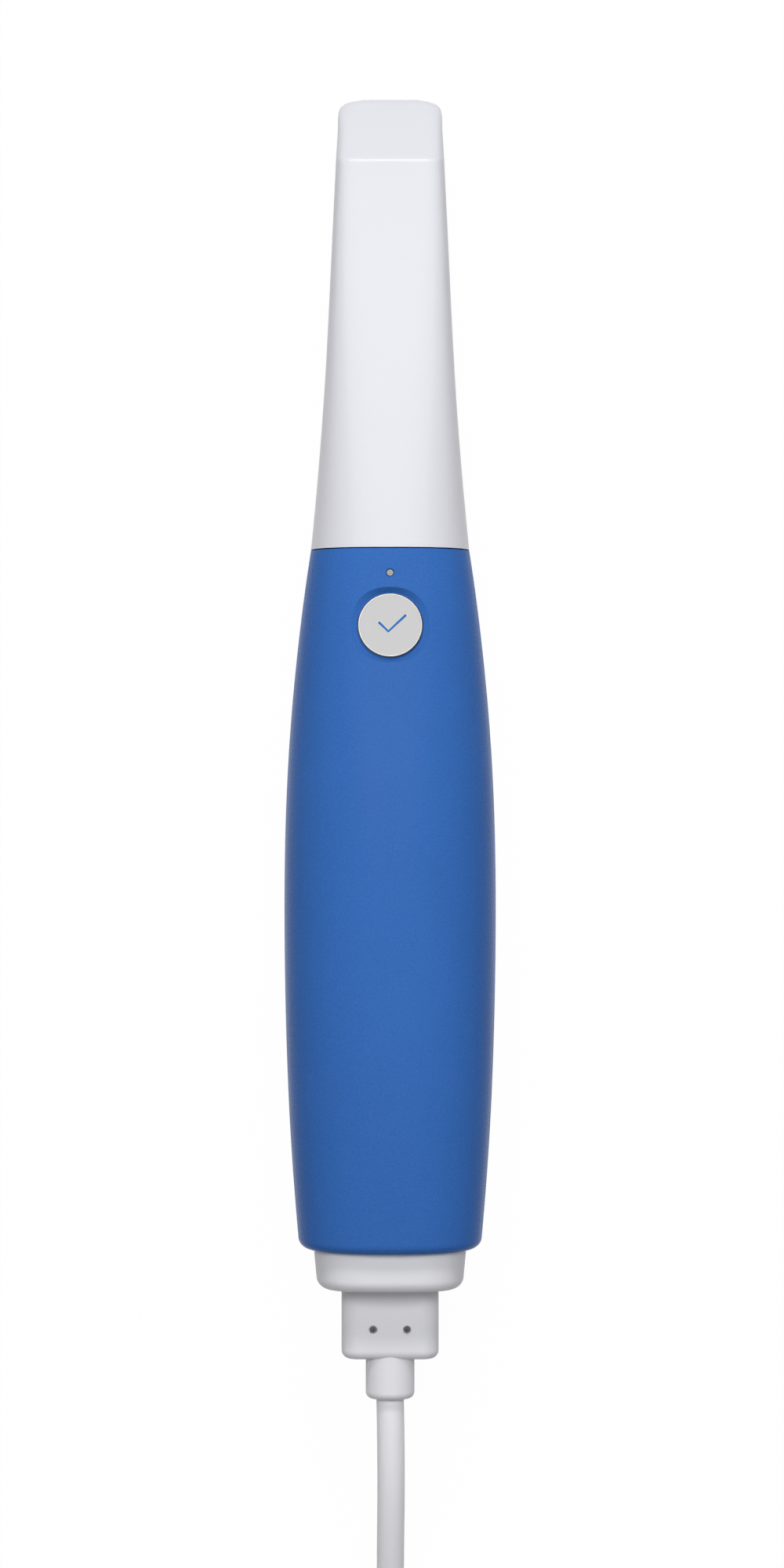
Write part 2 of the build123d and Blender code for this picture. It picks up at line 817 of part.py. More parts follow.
def hank_half_width():
    return fold_radius + (2 * hank_rows - 1) * cable_radius


def hank_height():
    return hank_layers * 2 * cable_radius


def hank_back_y():
    return hank_front_y() - hank_run - 2 * hank_half_width()


def cord_tube(points):
    radii = []
    for before, corner, after in zip(points, points[1:], points[2:]):
        arriving = Vector(*corner) - Vector(*before)
        leaving = Vector(*after) - Vector(*corner)
        half_turn = radians(arriving.get_angle(leaving)) / 2
        radii.append(0.45 * min(arriving.length, leaving.length) / tan(half_turn))
    path = FilletPolyline(*points, radius=radii)
    start = Plane(origin=path @ 0, z_dir=path % 0)
    tube = sweep(start * Circle(cable_radius), path=path)
    expected = pi * cable_radius ** 2 * path.length
    print("cord radii", [round(radius) for radius in radii], "volume ratio", round(tube.volume / expected, 4))
    return tube


def cable_lead():
    return cord_tube(lead_points())


def cable_tail():
    return cord_tube(tail_points())


def hank_outline(grow):
    half_width = hank_half_width() + grow
    middle_y = (hank_front_y() + hank_back_y()) / 2
    return Pos(0, middle_y, 0) * Rot(0, 0, 90) * SlotOverall(hank_run + 2 * half_width, 2 * half_width)


def cable_hank():
    outside = extrude(hank_outline(0), hank_height())
    inside = extrude(hank_outline(-2 * hank_rows * cable_radius), hank_height())
    return Pos(0, 0, cable_lift) * (outside - inside)


def hank_tie():
    middle_y = (hank_front_y() + hank_back_y()) / 2
    half_width = hank_half_width() + tie_gap
    y = (middle_y - tie_width / 2, middle_y + tie_width / 2)
    high = cable_lift + hank_height() + tie_gap
    outer = block((-half_width - tie_thickness, half_width + tie_thickness), y, (0, high + tie_thickness))
    return outer - block((-half_width, half_width), y, (tie_thickness, high))


# Plug at the cable's far end, lying on the surface
def plug_start_y():
    return tail_points()[-1][1]


def plug_bar(outline, front_y, length):
    x = tail_points()[-1][0]
    plane = Plane(origin=(x, front_y, plug_half_height), x_dir=(1, 0, 0), z_dir=(0, -1, 0))
    return extrude(plane * outline, length)


def plug_body():
    outline = RectangleRounded(2 * plug_half_width, 2 * plug_half_height, plug_half_height * 0.7)
    body_start_y = plug_start_y() - plug_relief_length
    body = plug_bar(outline, body_start_y, plug_length)
    body = fillet(body.faces().sort_by(Axis.Y)[0].edges(), plug_edge * 0.4)
    body = fillet(body.faces().sort_by(Axis.Y)[-1].edges(), plug_edge * 0.6)
    relief = plug_bar(Circle(cable_radius + plug_relief_wall), plug_start_y(), plug_relief_length + spare)
    body += relief
    for step in (0.2, 0.5, 0.8):
        groove_y = plug_start_y() - plug_relief_length * step
        ring = plug_bar(Circle(plug_half_width), groove_y, plug_groove)
        body -= ring - plug_bar(Circle(cable_radius + plug_relief_wall / 2), groove_y, plug_groove)
    return body


def plug_shell():
    end_y = plug_start_y() - plug_relief_length - plug_length
    outline = RectangleRounded(2 * shell_half_width, 2 * shell_half_height, shell_half_height - 0.02)
    inside = RectangleRounded(2 * (shell_half_width - shell_wall), 2 * (shell_half_height - shell_wall),
                              shell_half_height - shell_wall - 0.02)
    shell = plug_bar(outline, end_y, shell_length)
    return shell - plug_bar(inside, end_y - shell_wall, shell_length)


def cover_parts():
    outer = cover_outer()
    inner = cover_inner()
    return {"top_cover": top_cover(outer, inner), "bottom_cover": bottom_cover(outer, inner)}


parts = cover_parts()
parts["tip_shell"] = tip_shell()
parts["tip_mirror"] = tip_mirror()
parts["nose"] = nose()
parts["nose_window"] = nose_window()
parts["seam_seal"] = seam_seal()
parts["button_cap"] = button_cap()
parts["button_membrane"] = button_membrane()
parts["tact_switch"] = tact_switch()
parts["button_board"] = button_board()
parts["light_guide"] = light_guide()
parts["chassis"] = chassis()
parts["chassis_screws"] = Compound(children=chassis_screws())
parts["optics_block"] = optics_block()
parts["camera_lens_left"] = camera_lens(-1)
parts["camera_lens_right"] = camera_lens(1)
parts["projector_lens"] = projector_lens()
parts["camera_board"] = camera_board()
parts["light_engine"] = light_engine()
parts["heat_sink"] = heat_sink()
parts["main_board"] = main_board()
parts["tail_cap"] = tail_cap()
parts["tail_socket"] = tail_socket()
parts["socket_contacts"] = socket_contacts()
parts["cable_connector"] = cable_connector()
parts["set_screws"] = Compound(children=set_screws())
parts["cable_lead"] = cable_lead()
parts["cable_hank"] = cable_hank()
parts["hank_tie"] = hank_tie()
parts["cable_tail"] = cable_tail()
parts["plug_body"] = plug_body()
parts["plug_shell"] = plug_shell()

for name, shape in parts.items():
    export_step(shape, "parts/" + name + ".step")
    print(name, round(shape.volume, 1))
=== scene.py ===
import json
from math import cos, radians, sin

import bmesh
import bpy
from mathutils import Matrix, Vector


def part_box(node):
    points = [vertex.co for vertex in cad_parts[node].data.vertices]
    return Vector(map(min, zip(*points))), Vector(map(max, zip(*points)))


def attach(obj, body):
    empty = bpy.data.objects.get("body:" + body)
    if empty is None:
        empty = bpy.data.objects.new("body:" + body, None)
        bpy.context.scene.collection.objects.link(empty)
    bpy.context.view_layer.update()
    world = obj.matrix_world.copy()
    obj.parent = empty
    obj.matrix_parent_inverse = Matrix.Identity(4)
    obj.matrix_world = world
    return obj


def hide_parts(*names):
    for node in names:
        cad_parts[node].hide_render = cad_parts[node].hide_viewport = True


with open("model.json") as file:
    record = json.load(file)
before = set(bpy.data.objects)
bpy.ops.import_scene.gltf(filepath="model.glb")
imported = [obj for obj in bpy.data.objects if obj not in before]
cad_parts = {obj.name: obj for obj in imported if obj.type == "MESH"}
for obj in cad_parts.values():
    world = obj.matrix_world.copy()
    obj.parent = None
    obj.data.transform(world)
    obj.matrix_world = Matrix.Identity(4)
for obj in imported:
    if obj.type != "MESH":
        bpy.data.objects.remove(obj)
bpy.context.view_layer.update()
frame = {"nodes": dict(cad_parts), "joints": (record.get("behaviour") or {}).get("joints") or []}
nodes = frame["nodes"]
print("frame loaded")

# Places taken from the frame: the height of the scanner's axis, the end of the strain relief,
# the seam behind the tip, and the way that the button and the status light face
connectorLow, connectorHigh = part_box("cable_connector")
axisHeight = (connectorLow.z + connectorHigh.z) / 2
reliefY = connectorLow.y
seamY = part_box("top_cover")[1].y
jointAxes = {joint["name"]: joint["axis"] for joint in frame["joints"]}
buttonNormal = -Vector(jointAxes["button_press"])
topDepth = 0.00001  # corners this close under a part's highest point belong to its top


def topOf(node):
    corners = [vertex.co for vertex in nodes[node].data.vertices]
    height = max(corner.dot(buttonNormal) for corner in corners)
    rim = [corner for corner in corners if corner.dot(buttonNormal) > height - topDepth]
    return sum(rim, Vector()) / len(rim)


# Places a shape made round Z on the middle of a part's top, square to the button's face
def onto(node):
    lean = Vector((0, 0, 1)).rotation_difference(buttonNormal).to_matrix().to_4x4()
    return Matrix.Translation(topOf(node)) @ lean


# Camera straight above the scanner, tip towards the top of the picture
camera = {
    "side": 0.0004,
    "behindSeam": 0.0486,
    "overAxis": 1.0,
    "lens": 109.6,
    "sensor": 36.0,
    "clip": (0.01, 20.0),
}

cameraData = bpy.data.cameras.new("camera")
cameraData.lens = camera["lens"]
cameraData.sensor_width = camera["sensor"]
cameraData.sensor_fit = "AUTO"
cameraData.clip_start, cameraData.clip_end = camera["clip"]
cameraObject = bpy.data.objects.new("camera", cameraData)
cameraObject.location = (camera["side"], seamY - camera["behindSeam"],
                         axisHeight + camera["overAxis"])
bpy.context.scene.collection.objects.link(cameraObject)
bpy.context.scene.camera = cameraObject
print("camera placed")


# Adds a shader node, with its operation and the values of its sockets
def addNode(tree, kind, sockets=None, operation=None):
    node = tree.nodes.new("ShaderNode" + kind)
    if operation:
        node.operation = operation
    for socket, value in (sockets or {}).items():
        node.inputs[socket].default_value = value
    return node


# Materials: every finish has a fine grain, a slow change of tone and its own gloss, and these
# values in common
shared = {
    "toneDetail": 3.0,
    "grainDetail": 2.0,
    "reach": 0.4,  # how far the noise runs either side of its middle
    "glossFrom": 0.3,
    "glossTo": 0.7,
    "ior": 1.5,
    "coatRoughness": 0.1,
}


def makeFinish(name, colour, roughness=0.5, metallic=0.0, specular=0.5, coat=0.0, sheen=0.0,
               transmission=0.0, toneChange=0.04, toneScale=60.0, grainScale=2500.0,
               grainDepth=0.00002, grainStrength=0.15, grainShare=1.0, roughChange=0.06,
               stretch=(1.0, 1.0, 1.0)):
    material = bpy.data.materials.new(name)
    material.use_nodes = True
    tree = material.node_tree
    link = tree.links.new
    shader = tree.nodes["Principled BSDF"]

    place = addNode(tree, "TexCoord")
    spread = addNode(tree, "Mapping", {"Scale": stretch})
    link(place.outputs["Object"], spread.inputs["Vector"])
    tone = addNode(tree, "TexNoise", {"Scale": toneScale, "Detail": shared["toneDetail"]})
    link(place.outputs["Object"], tone.inputs["Vector"])
    grain = addNode(tree, "TexNoise", {"Scale": grainScale, "Detail": shared["grainDetail"]})
    link(spread.outputs["Vector"], grain.inputs["Vector"])

    # Slow tone and fine grain together change the colour a little
    both = addNode(tree, "Math", {1: grainShare}, operation="MULTIPLY_ADD")
    link(grain.outputs["Fac"], both.inputs[0])
    link(tone.outputs["Fac"], both.inputs[2])
    middle = (1.0 + grainShare) / 2
    ramp = addNode(tree, "MapRange", {
        "From Min": middle - shared["reach"], "From Max": middle + shared["reach"],
        "To Min": 1.0 - toneChange, "To Max": 1.0 + toneChange,
    })
    link(both.outputs["Value"], ramp.inputs["Value"])
    tint = addNode(tree, "VectorMath", {0: colour}, operation="SCALE")
    link(ramp.outputs["Result"], tint.inputs["Scale"])
    link(tint.outputs["Vector"], shader.inputs["Base Color"])

    gloss = addNode(tree, "MapRange", {
        "From Min": shared["glossFrom"], "From Max": shared["glossTo"],
        "To Min": max(0.0, roughness - roughChange), "To Max": min(1.0, roughness + roughChange),
    })
    link(grain.outputs["Fac"], gloss.inputs["Value"])
    link(gloss.outputs["Result"], shader.inputs["Roughness"])

    bump = addNode(tree, "Bump", {"Strength": grainStrength, "Distance": grainDepth})
    link(grain.outputs["Fac"], bump.inputs["Height"])
    link(bump.outputs["Normal"], shader.inputs["Normal"])

    shader.inputs["Metallic"].default_value = metallic
    shader.inputs["Specular IOR Level"].default_value = specular
    shader.inputs["IOR"].default_value = shared["ior"]
    shader.inputs["Coat Weight"].default_value = coat
    shader.inputs["Coat Roughness"].default_value = shared["coatRoughness"]
    shader.inputs["Sheen Weight"].default_value = sheen
    shader.inputs["Transmission Weight"].default_value = transmission
    return material


finishes = {
    "blue_plastic": makeFinish(
        "bluePlastic", (0.038, 0.14, 0.45), roughness=0.29, specular=0.026, toneChange=0.07,
        toneScale=35.0, grainScale=3400.0, grainDepth=0.00003, grainStrength=0.40,
        grainShare=2.6, roughChange=0.08),
    "white_plastic": makeFinish(
        "tipPlastic", (0.69, 0.69, 0.74), roughness=0.32, specular=0.3, toneChange=0.012,
        toneScale=28.0, grainScale=2200.0, grainStrength=0.015, roughChange=0.02),
    "grey_plastic": makeFinish(
        "greyPlastic", (0.765, 0.765, 0.795), roughness=0.50, specular=0.22, toneChange=0.02,
        toneScale=70.0, grainScale=3000.0, grainStrength=0.14),
    "dark_plastic": makeFinish(
        "darkPlastic", (0.045, 0.046, 0.05), roughness=0.55, toneChange=0.06),
    "black_plastic": makeFinish("blackPlastic", (0.025, 0.025, 0.027), toneChange=0.06),
    "mirror_glass": makeFinish(
        "mirrorGlass", (0.90, 0.90, 0.92), roughness=0.03, metallic=1.0, toneChange=0.006,
        grainStrength=0.01, roughChange=0.01),
    "clear_glass": makeFinish(
        "clearGlass", (0.86, 0.90, 0.92), roughness=0.03, transmission=0.9, toneChange=0.01,
        grainStrength=0.01, roughChange=0.01),
    "clear_plastic": makeFinish(
        "lightGuidePlastic", (0.31, 0.31, 0.30), roughness=0.45, specular=0.25,
        toneChange=0.08, grainStrength=0.05),
    "black_rubber": makeFinish(
        "blackRubber", (0.03, 0.03, 0.032), roughness=0.75, toneChange=0.1, grainScale=1500.0,
        grainStrength=0.2),
    "button_metal": makeFinish(
        "satinSilver", (0.42, 0.42, 0.42), roughness=0.42, metallic=0.12, specular=0.25,
        toneChange=0.02, grainScale=4200.0, grainStrength=0.10, roughChange=0.05),
    "board_green": makeFinish(
        "boardGreen", (0.012, 0.12, 0.045), roughness=0.38, coat=0.3, toneChange=0.15,
        toneScale=400.0, grainScale=900.0, grainStrength=0.2),
    "frame_aluminium": makeFinish(
        "milledAluminium", (0.72, 0.73, 0.75), roughness=0.36, metallic=1.0,
        stretch=(1.0, 0.08, 1.0)),
    "black_aluminium": makeFinish(
        "anodisedAluminium", (0.03, 0.03, 0.035), roughness=0.42, metallic=0.6, toneChange=0.1,
        stretch=(1.0, 1.0, 0.1)),
    "lens_black": makeFinish(
        "lensBarrel", (0.03, 0.03, 0.036), roughness=0.35, metallic=0.5, toneChange=0.08),
    "screw_steel": makeFinish(
        "darkSteel", (0.065, 0.065, 0.070), roughness=0.42, metallic=0.8, toneChange=0.12),
    "contact_brass": makeFinish(
        "platedBrass", (0.78, 0.58, 0.22), roughness=0.28, metallic=1.0, toneChange=0.06),
    "plug_steel": makeFinish(
        "plugSteel", (0.68, 0.68, 0.70), roughness=0.30, metallic=1.0, toneChange=0.03,
        stretch=(1.0, 0.1, 1.0)),
    "cable_grey": makeFinish(
        "cableJacket", (0.86, 0.86, 0.89), roughness=0.52, specular=0.3, sheen=0.05,
        toneChange=0.015, toneScale=90.0, grainScale=2600.0, grainStrength=0.12),
    "tie_black": makeFinish(
        "wovenTie", (0.03, 0.03, 0.033), roughness=0.85, specular=0.2, toneChange=0.25,
        grainScale=1800.0, grainDepth=0.0001, grainStrength=0.6, stretch=(1.0, 0.35, 1.0)),
    # Prints, the status light's pale rim, and a pale finish for a painted highlight on the
    # button's edge, that only this script has
    "blueInk": makeFinish("blueInk", (0.02, 0.165, 0.50), specular=0.05),
    "palePrint": makeFinish("palePrint", (0.72, 0.62, 0.51), specular=0.1, toneChange=0.03),
    "lightRim": makeFinish("lightRim", (0.46, 0.41, 0.34), specular=0.1, toneChange=0.03),
    # Pale colour for a ring that stands in for the highlight along the button's edge: a painted
    # highlight
    "paintedHighlightFinish": makeFinish(
        "paintedHighlightFinish", (0.80, 0.80, 0.79), roughness=0.35, metallic=0.3, toneChange=0.02,
        grainStrength=0.05),
}
print("finishes made:", len(finishes))


def linkPiece(name, shape, finish, body):
    piece = bpy.data.objects.new(name, shape)
    bpy.context.scene.collection.objects.link(piece)
    shape.materials.append(finishes[finish])
    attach(piece, body)
    return piece


def meshFrom(bm, name):
    mesh = bpy.data.meshes.new(name)
    bm.to_mesh(mesh)
    bm.free()
    return mesh


# The cable: out of the strain relief, down to the floor, six turns of a tied hank, and the plug.
# Its places along Y count from the end of the strain relief
cable = {
    "radius": 0.002875,
    "length": 2.0,
    "clearance": 0.001,  # between the floor and the lowest turns
    "lead": [(0.0, 0.0, 0.0234), (0.0003, -0.0140, 0.02307), (0.0, -0.0380, 0.01478),
             (0.0002, -0.0558, 0.00640), (0.0022, -0.0673, 0.00400),
             (0.0090, -0.0773, 0.003875), (0.0170, -0.0853, 0.003875),
             (0.0225, -0.0958, 0.003875)],
    "tail": [(0.0230, -0.1818, 0.0153), (0.0231, -0.1958, 0.0154), (0.0222, -0.2088, 0.0128),
             (0.0192, -0.2228, 0.0052), (0.0170, -0.2328, 0.0034), (0.01665, -0.2408, 0.0034)],
    "foldY": (-0.107875, -0.195875),
    "runYs": (-0.1153, -0.1519, -0.1885),
    "insideFold": 0.01725,
    "outsideFold": 0.0230,
    "over": 0.0211,  # height of the turn that lies over the rest
    "valley": (0.0201, 0.0204),  # where the last turn lies between two others
    "pathSteps": 10,
    "roundSteps": 6,
}


# Each turn: down the right side, round the far fold, up the left side and round the near fold,
# as pairs of reach and height. Near folds change row and layer, one turn after the other, so
# that no turn cuts through another
def hankTurns():
    near, far = cable["insideFold"], cable["outsideFold"]
    low = cable["clearance"] + cable["radius"]
    middle, top = low + 2 * cable["radius"], low + 4 * cable["radius"]
    over, valley = cable["over"], cable["valley"]
    return [
        {"down": (far, low),
         "turn": [(far, low)] * 5,
         "up": [(far, low)] * 3,
         "back": [(far, low), (far, low), (far, low), (0.0215, low), (0.0185, low)]},
        {"down": (near, low),
         "turn": [(near, low)] * 5,
         "up": [(near, low)] * 3,
         "back": [(near, low), (near, low), (near, 0.0048), (near, 0.0077), (near, middle)]},
        {"down": (near, middle),
         "turn": [(near, middle)] * 5,
         "up": [(near, middle)] * 3,
         "back": [(near, middle), (0.0185, middle), (0.0215, middle), (far, middle),
                  (far, middle)]},
        {"down": (far, middle),
         "turn": [(far, middle)] * 5,
         "up": [(far, middle), (far, middle), (far, 0.0115)],
         "back": [(0.0224, top), (0.0195, top), (near, top), (near, top), (near, top)]},
        {"down": (near, top),
         "turn": [(near, top)] * 5,
         "up": [(near, top), (near, top), (near, 0.0185)],
         "back": [(near, over), (near, over), (0.0175, over), (0.0187, 0.0209), valley]},
        {"down": valley,
         "turn": [valley, (0.0205, 0.0199), (0.0215, 0.0186), (0.0224, 0.0166), (far, top)],
         "up": [(far, top), (far, top), (far, 0.0185)],
         "back": [(far, over), (far, over), (far, 0.0206), (far, 0.0185), (far, 0.0161)]},
    ]


# A fold's control points stand a little outside its arc, so that the smooth line touches the arc
def foldPoints(places, middleY, side):
    step = radians(180 / len(places))
    points = []
    for index, (reach, height) in enumerate(places):
        angle = step * (index + 0.5)
        wide = side * reach / cos(step / 2)
        points.append((wide * cos(angle), middleY - wide * sin(angle), height))
    return points


def cableRoute():
    nearY, farY = cable["foldY"]
    runYs = cable["runYs"]
    route = list(cable["lead"])
    for turn in hankTurns():
        reach, height = turn["down"]
        route += [(reach, y, height) for y in runYs]
        route += foldPoints(turn["turn"], farY, 1)
        route += [(-wide, y, high) for (wide, high), y in zip(turn["up"], reversed(runYs))]
        route += foldPoints(turn["back"], nearY, -1)
    top = cable["clearance"] + 5 * cable["radius"]
    route += [(cable["outsideFold"], y, top) for y in runYs[:2]]
    return [(x, reliefY + y, z) for x, y, z in route + cable["tail"]]


def makeCable():
    route = cableRoute()
    curve = bpy.data.curves.new("cable", "CURVE")
    curve.dimensions = "3D"
    curve.resolution_u = cable["pathSteps"]
    curve.bevel_depth = cable["radius"]
    curve.bevel_resolution = cable["roundSteps"]
    curve.use_fill_caps = True
    spline = curve.splines.new("NURBS")
    spline.points.add(len(route) - 1)
    for point, place in zip(spline.points, route):
        point.co = (*place, 1.0)
    spline.order_u = 3
    spline.use_endpoint_u = True
    piece = linkPiece("cable", curve, "cable_grey", "handpiece")
    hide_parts("cable_lead", "cable_hank", "cable_tail")
    return piece


cablePiece = makeCable()
print("cable laid:", len(cableRoute()), "points")

# A woven strap pulled tight round the hank, whose outline is a section across the hank
strap = {
    "behindRelief": 0.151875,
    "width": 0.014,
    "thickness": 0.0008,
    "outline": [(-0.0263, 0.0004), (0.0263, 0.0004), (0.0263, 0.0170), (0.0222, 0.0239),
                (-0.0240, 0.0188), (-0.0263, 0.0168)],
    "cornerRound": 0.0022,
    "cornerSteps": 4,
    "sharpAngle": 40,
}


def makeStrap():
    bm = bmesh.new()
    width = strap["width"]
    startY = reliefY - strap["behindRelief"] - width / 2
    ring = [bm.verts.new((x, startY, z)) for x, z in strap["outline"]]
    edges = [bm.edges.new((a, b)) for a, b in zip(ring, ring[1:] + ring[:1])]
    made = bmesh.ops.extrude_edge_only(bm, edges=edges)["geom"]
    moved = [item for item in made if isinstance(item, bmesh.types.BMVert)]
    bmesh.ops.translate(bm, verts=moved, vec=(0, width, 0))
    corners = [edge for edge in bm.edges
               if abs(edge.verts[0].co.y - edge.verts[1].co.y) > width / 2]
    bmesh.ops.bevel(bm, geom=corners, offset=strap["cornerRound"],
                    segments=strap["cornerSteps"], profile=0.5, affect="EDGES",
                    clamp_overlap=True, material=-1)
    bmesh.ops.recalc_face_normals(bm, faces=bm.faces)
    bmesh.ops.solidify(bm, geom=bm.faces[:], thickness=strap["thickness"])
    bmesh.ops.recalc_face_normals(bm, faces=bm.faces)
    mesh = meshFrom(bm, "hankStrap")
    mesh.shade_smooth()
    mesh.set_sharp_from_angle(angle=radians(strap["sharpAngle"]))
    piece = linkPiece("hankStrap", mesh, "tie_black", "handpiece")
    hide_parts("hank_tie")
    return piece


strapPiece = makeStrap()
print("strap drawn round the hank")

# The moulded and inner parts keep their CAD shape and get their finish
finishOf = {
    "top_cover": "blue_plastic",
    "bottom_cover": "blue_plastic",
    "tip_shell": "white_plastic",
    "tip_mirror": "mirror_glass",
    "nose": "dark_plastic",
    "nose_window": "clear_glass",
    "seam_seal": "black_rubber",
    "light_guide": "clear_plastic",
    "button_cap": "button_metal",
    "tail_cap": "grey_plastic",
    "cable_connector": "grey_plastic",
    "set_screws": "screw_steel",
    "plug_body": "grey_plastic",
    "plug_shell": "plug_steel",
    "button_membrane": "black_rubber",
    "tact_switch": "black_plastic",
    "button_board": "board_green",
    "chassis": "frame_aluminium",
    "chassis_screws": "screw_steel",
    "optics_block": "black_aluminium",
    "camera_lens_left": "lens_black",
    "camera_lens_right": "lens_black",
    "projector_lens": "lens_black",
    "camera_board": "board_green",
    "light_engine": "black_aluminium",
    "heat_sink": "frame_aluminium",
    "main_board": "board_green",
    "tail_socket": "dark_plastic",
    "socket_contacts": "contact_brass",
}
for node, finish in finishOf.items():
    for slot in nodes[node].material_slots:
        slot.material = finishes[finish]
print("parts finished:", len(finishOf))

# Thin rings: a pale ring of painted highlight on the button's edge, a black ring of painted shade
# just outside it, the well's rounded lip, a black rubber gasket set high in the gap so that it
# paints the gap's shade, and the pale rim of the status light. Drop counts down from the part's
# top
rings = {
    # A pale ring on the button's rounded edge: a painted highlight, much lighter than the button
    # itself
    "paintedButtonHighlight": {"on": "button_cap", "radius": 0.00645, "thickness": 0.00007,
                   "drop": 0.00002, "finish": "paintedHighlightFinish", "slot": "button_metal",
                   "body": "button"},
    # A black ring where the button's edge turns down: painted shade, made with the black rubber
    # finish
    "paintedShadeRing": {"on": "button_cap", "radius": 0.00663, "thickness": 0.00008,
                    "drop": 0.00012, "finish": "black_rubber", "slot": "black_rubber",
                    "body": "button"},
    "wellLip": {"on": "button_cap", "radius": 0.00687, "thickness": 0.00012,
                "drop": 0.00076, "finish": "blue_plastic", "slot": "blue_plastic",
                "body": "handpiece"},
    # A black rubber ring set high in the gap round the button, so that its dark colour paints the
    # gap's shade
    "gapShadeGasket": {"on": "button_cap", "radius": 0.00687, "thickness": 0.00014,
                     "drop": 0.00104, "finish": "black_rubber", "slot": "black_rubber",
                     "body": "handpiece"},
    "lightRim": {"on": "light_guide", "radius": 0.00052, "thickness": 0.00012,
                 "drop": 0.00009, "finish": "lightRim", "slot": "clear_plastic",
                 "body": "handpiece"},
}
ringSteps = {
    "across": 12,
    "around": 96,
}


def makeRing(name, facts):
    bm = bmesh.new()
    beside = Matrix.Translation((facts["radius"], 0, -facts["drop"]))
    circle = bmesh.ops.create_circle(bm, segments=ringSteps["across"],
                                     radius=facts["thickness"],
                                     matrix=beside @ Matrix.Rotation(radians(90), 4, "X"))["verts"]
    edges = list({edge for vertex in circle for edge in vertex.link_edges})
    bmesh.ops.spin(bm, geom=circle + edges, cent=(0, 0, 0), axis=(0, 0, 1), dvec=(0, 0, 0),
                   angle=radians(360), steps=ringSteps["around"], use_merge=True)
    bmesh.ops.recalc_face_normals(bm, faces=bm.faces)
    bmesh.ops.transform(bm, matrix=onto(facts["on"]), verts=bm.verts)
    mesh = meshFrom(bm, name)
    mesh.shade_smooth()
    piece = linkPiece(name, mesh, facts["finish"], facts["body"])


for name, facts in rings.items():
    makeRing(name, facts)
print("rings fitted:", len(rings))

# The tick on the button, in blue ink inside a fine pale line. Its corners count from the middle
# of the button's top, proud is how far a line stands out of it, and rounding is how each end
# closes: the share of the stroke along it, and the share of its width
tick = {
    "corners": [(-0.00224, 0.00047), (-0.00040, -0.00135), (0.00309, 0.00197)],
    "rounding": [(0.0, 0.05), (0.13, 0.5), (0.5, 0.87), (1.0, 1.0)],
    "roundSteps": 5,
    "lines": {
        "tickInk": {"stroke": 0.00030, "proud": 0.00005, "finish": "blueInk"},
        "tickEdge": {"stroke": 0.00046, "proud": 0.00002, "finish": "palePrint"},
    },
}


def makeTickLine(name, facts):
    stroke = facts["stroke"]
    first, middle, last = [Vector((x, y, 0)) for x, y in tick["corners"]]
    fromFirst = (middle - first).normalized() * stroke
    fromLast = (middle - last).normalized() * stroke
    stations = [(first + fromFirst * (far - 1), wide) for far, wide in tick["rounding"]]
    stations.append((middle, 1.0))
    stations += [(last + fromLast * (far - 1), wide) for far, wide in reversed(tick["rounding"])]

    curve = bpy.data.curves.new(name, "CURVE")
    curve.dimensions = "3D"
    curve.bevel_depth = stroke
    curve.bevel_resolution = tick["roundSteps"]
    curve.use_fill_caps = True
    spline = curve.splines.new("POLY")
    spline.points.add(len(stations) - 1)
    for point, (place, wide) in zip(spline.points, stations):
        point.co = (*place, 1.0)
        point.radius = wide
    holder = bpy.data.objects.new(name, curve)
    bpy.context.scene.collection.objects.link(holder)
    bpy.context.view_layer.update()
    mesh = bpy.data.meshes.new_from_object(holder)
    bpy.data.objects.remove(holder)

    flatten = Matrix.Diagonal((1.0, 1.0, facts["proud"] / stroke, 1.0))
    mesh.transform(onto("button_cap") @ flatten)
    mesh.shade_smooth()
    piece = linkPiece(name, mesh, facts["finish"], "button")


for name, facts in tick["lines"].items():
    makeTickLine(name, facts)
print("tick printed")


# White to the camera and in gloss and glass, and the plain look to all other rays
def mixByRay(tree, plain, white, end):
    link = tree.links.new
    rays = addNode(tree, "LightPath")
    mirrored = addNode(tree, "Math", operation="MAXIMUM")
    link(rays.outputs["Is Glossy Ray"], mirrored.inputs[0])
    link(rays.outputs["Is Transmission Ray"], mirrored.inputs[1])
    direct = addNode(tree, "Math", operation="MAXIMUM")
    link(rays.outputs["Is Camera Ray"], direct.inputs[0])
    link(mirrored.outputs["Value"], direct.inputs[1])
    mix = addNode(tree, "MixShader")
    link(direct.outputs["Value"], mix.inputs["Fac"])
    link(plain.outputs[0], mix.inputs[1])
    link(white.outputs[0], mix.inputs[2])
    link(mix.outputs[0], end.inputs["Surface"])


# Pale floor: white to the camera, with a trace of the scanner's shadow
floor = {
    "size": 6.0,
    "height": -0.0002,
    "squares": 4,
    "diffuse": 0.62,
    "paper": 0.9,
    "shadowShare": 0.02,
    "white": 1.0,
}


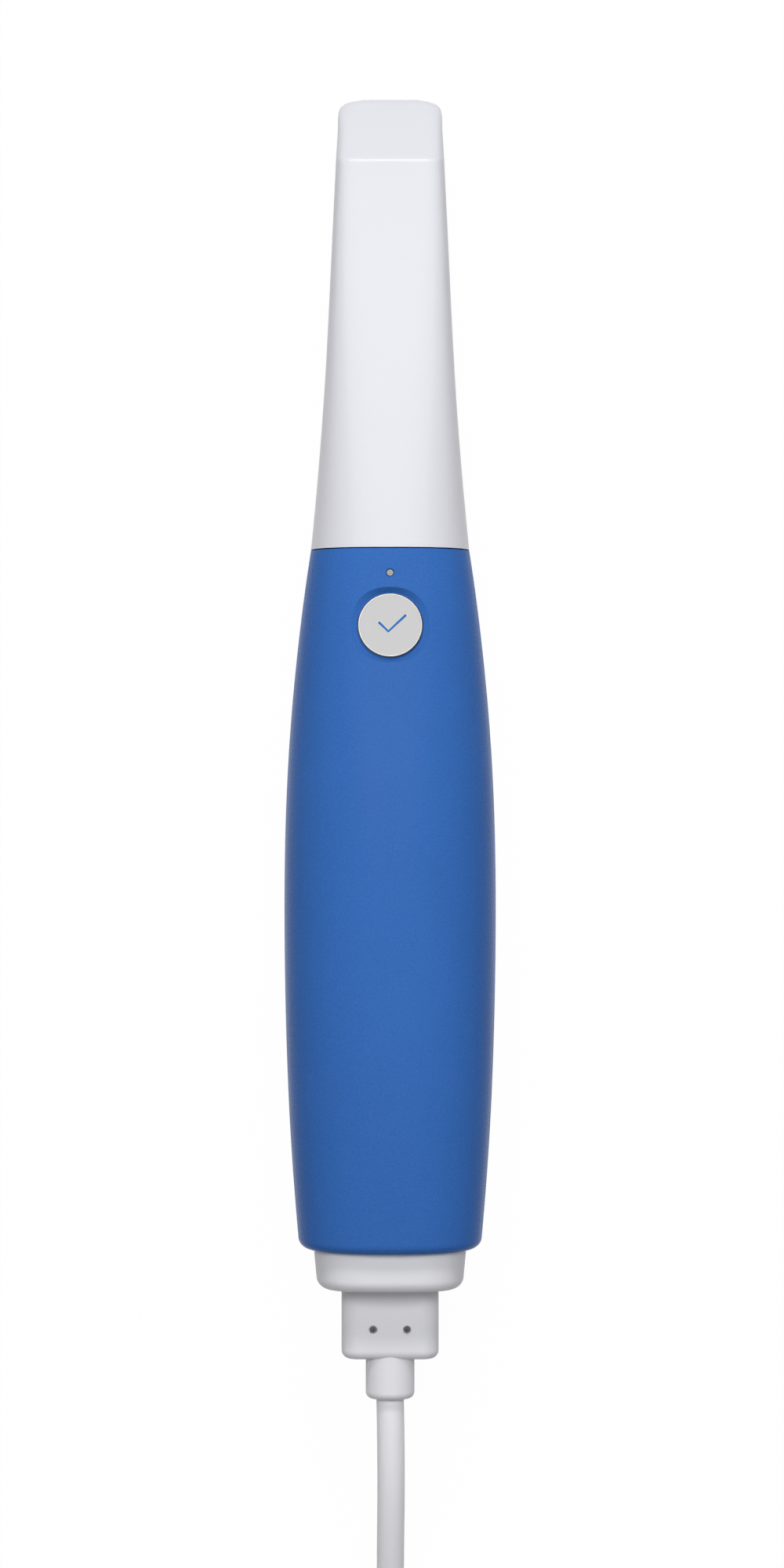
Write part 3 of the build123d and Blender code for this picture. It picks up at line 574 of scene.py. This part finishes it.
def makeFloor():
    bm = bmesh.new()
    bmesh.ops.create_grid(bm, x_segments=floor["squares"], y_segments=floor["squares"],
                          size=floor["size"] / 2,
                          matrix=Matrix.Translation((0, 0, floor["height"])))
    mesh = meshFrom(bm, "floor")
    piece = bpy.data.objects.new("floor", mesh)
    bpy.context.scene.collection.objects.link(piece)
    material = bpy.data.materials.new("studioFloor")
    material.use_nodes = True
    tree = material.node_tree
    tree.nodes.remove(tree.nodes["Principled BSDF"])
    matt = addNode(tree, "BsdfDiffuse", {"Color": (*[floor["diffuse"]] * 3, 1)})
    paper = addNode(tree, "BsdfDiffuse", {"Color": (*[floor["paper"]] * 3, 1)})
    glow = addNode(tree, "Emission", {"Color": (1, 1, 1, 1), "Strength": floor["white"]})
    seen = addNode(tree, "MixShader", {"Fac": floor["shadowShare"]})
    tree.links.new(glow.outputs[0], seen.inputs[1])
    tree.links.new(paper.outputs[0], seen.inputs[2])
    mixByRay(tree, matt, seen, tree.nodes["Material Output"])
    mesh.materials.append(material)


makeFloor()
print("floor laid")

# Soft light: one lamp ahead of the tip, one over the body, a long strip each side whose streaks
# run down the tip and the cover, and a weak one over the tail, in a pale room
lamps = {
    "ahead": {"place": (0.0, 0.85, 0.75), "size": (0.30, 0.20), "power": 4.8},
    "softBox": {"place": (0.0, 0.22, 0.95), "size": (0.40, 0.28), "power": 2.3},
    "leftStrip": {"place": (-0.29, 0.20, 0.95), "size": (0.10, 0.60), "power": 1.8},
    "rightStrip": {"place": (0.29, 0.20, 0.95), "size": (0.10, 0.60), "power": 1.6},
    "overTail": {"place": (0.0, -0.30, 0.90), "size": (0.50, 0.35), "power": 0.8},
}
studio = {
    "lampAim": (0.0, 0.0, 0.03),
    "roomLight": 0.12,
    "roomWhite": 1.0,
}


def makeLamp(name, facts):
    lamp = bpy.data.lights.new(name, "AREA")
    lamp.shape = "RECTANGLE"
    lamp.size, lamp.size_y = facts["size"]
    lamp.energy = facts["power"]
    holder = bpy.data.objects.new(name, lamp)
    bpy.context.scene.collection.objects.link(holder)
    aim = Vector(studio["lampAim"]) - Vector(facts["place"])
    turn = aim.to_track_quat("-Z", "Y").to_matrix().to_4x4()
    holder.matrix_world = Matrix.Translation(facts["place"]) @ turn
    holder.visible_camera = False


for name, facts in lamps.items():
    makeLamp(name, facts)


def makeRoom():
    world = bpy.data.worlds.new("studio")
    bpy.context.scene.world = world
    world.use_nodes = True
    tree = world.node_tree
    ambient = tree.nodes["Background"]
    ambient.inputs["Color"].default_value = (1, 1, 1, 1)
    ambient.inputs["Strength"].default_value = studio["roomLight"]
    white = addNode(tree, "Background",
                    {"Color": (1, 1, 1, 1), "Strength": studio["roomWhite"]})
    mixByRay(tree, ambient, white, tree.nodes["World Output"])


makeRoom()
bpy.context.scene.view_settings.view_transform = "Standard"
print("studio lit")
